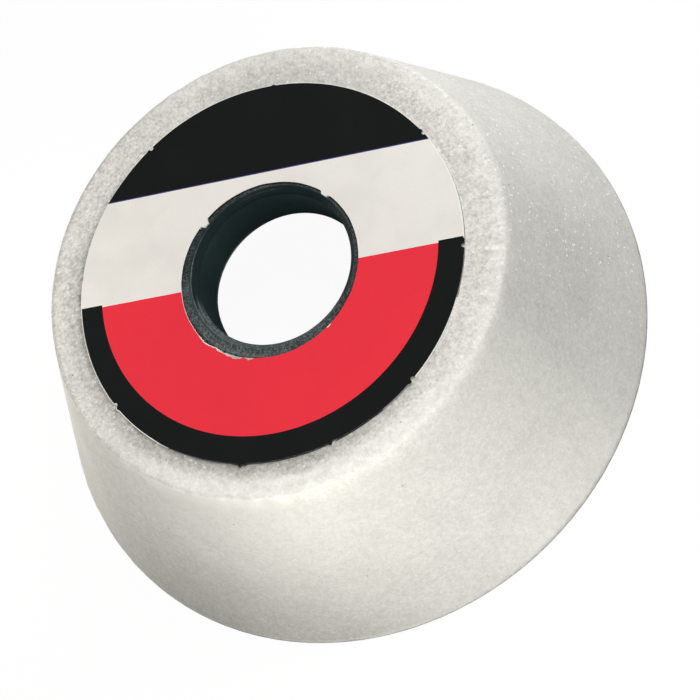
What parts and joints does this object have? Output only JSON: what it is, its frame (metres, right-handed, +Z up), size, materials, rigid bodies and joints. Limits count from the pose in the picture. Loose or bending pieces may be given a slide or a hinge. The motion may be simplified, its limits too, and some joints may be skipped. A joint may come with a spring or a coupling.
{
  "type": "flaring cup grinding wheel",
  "caption": "Flaring cup grinding wheel of white vitrified abrasive with a straight arbor hole, a dark bush and paper blotters under its flange seats.",
  "frame": {"origin": "on the wheel's axis, in the plane of the grinding rim that it stands on", "axes": "+Z up along the wheel's axis, from the rim to the back face; +X along the reading direction of the back blotter's fields"},
  "size_m": [0.127, 0.127, 0.045],
  "materials": {
    "vitrified_abrasive": "matte, grainy",
    "bush_resin": "matte",
    "printed_paper": "printed satin",
    "plain_paper": "matte"
  },
  "bodies": {
    "root": {"abrasive_body": "vitrified_abrasive", "bore_bush": "bush_resin", "back_blotter": "printed_paper", "inner_blotter": "plain_paper"}
  },
  "joints": []
}
